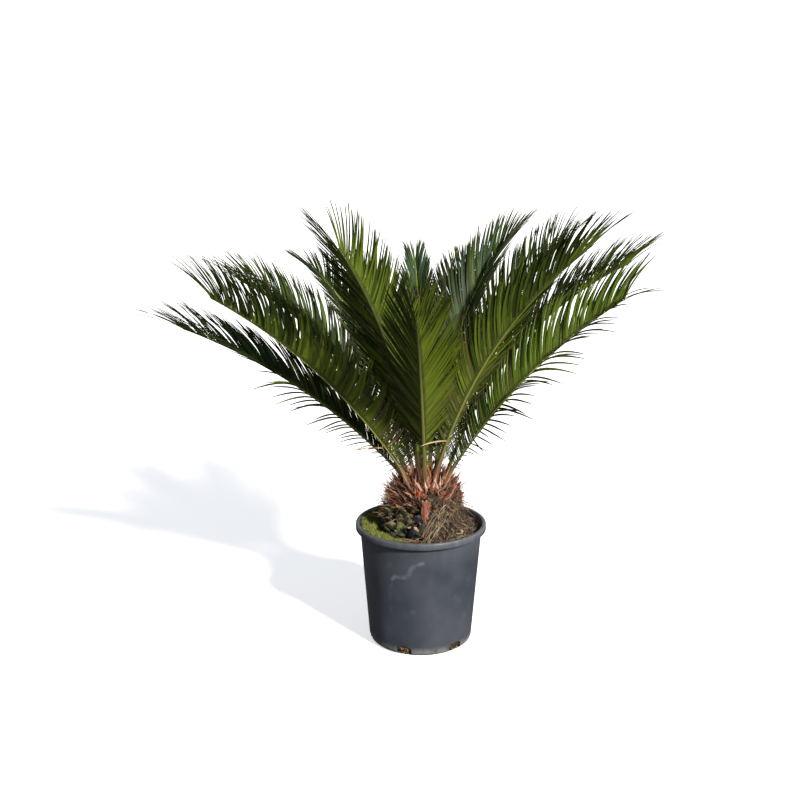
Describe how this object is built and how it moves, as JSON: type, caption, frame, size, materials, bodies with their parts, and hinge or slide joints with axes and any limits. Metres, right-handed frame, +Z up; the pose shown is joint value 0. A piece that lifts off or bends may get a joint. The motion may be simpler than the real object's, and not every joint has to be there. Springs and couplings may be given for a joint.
{
  "type": "potted sago palm",
  "caption": "Sago palm in a round nursery pot: a stout trunk of old leaf bases under a full crown of arching feather fronds, with moss on the soil.",
  "frame": {"origin": "centre of the pot's flat underside", "axes": "+Z up, -Y to the front of the plant, +X to its right seen from the front"},
  "size_m": [1.5203, 1.3473, 1.3351],
  "materials": {
    "pot": "satin",
    "soil": "matte",
    "moss": "matte",
    "trunk": "matte",
    "frond": "satin"
  },
  "bodies": {
    "root": {"pot": "pot", "soil": "soil", "moss": "moss", "trunk": "trunk", "crown_bud": "trunk", "frond_front": "frond", "frond_front_right": "frond", "frond_front_left": "frond", "frond_left_front": "frond", "frond_left": "frond", "frond_right_front": "frond", "frond_back_right": "frond", "frond_right": "frond", "frond_back": "frond", "frond_left_back": "frond", "frond_back_left": "frond", "frond_right_back": "frond", "frond_back_inner_right": "frond", "frond_back_inner_left": "frond"}
  },
  "joints": []
}
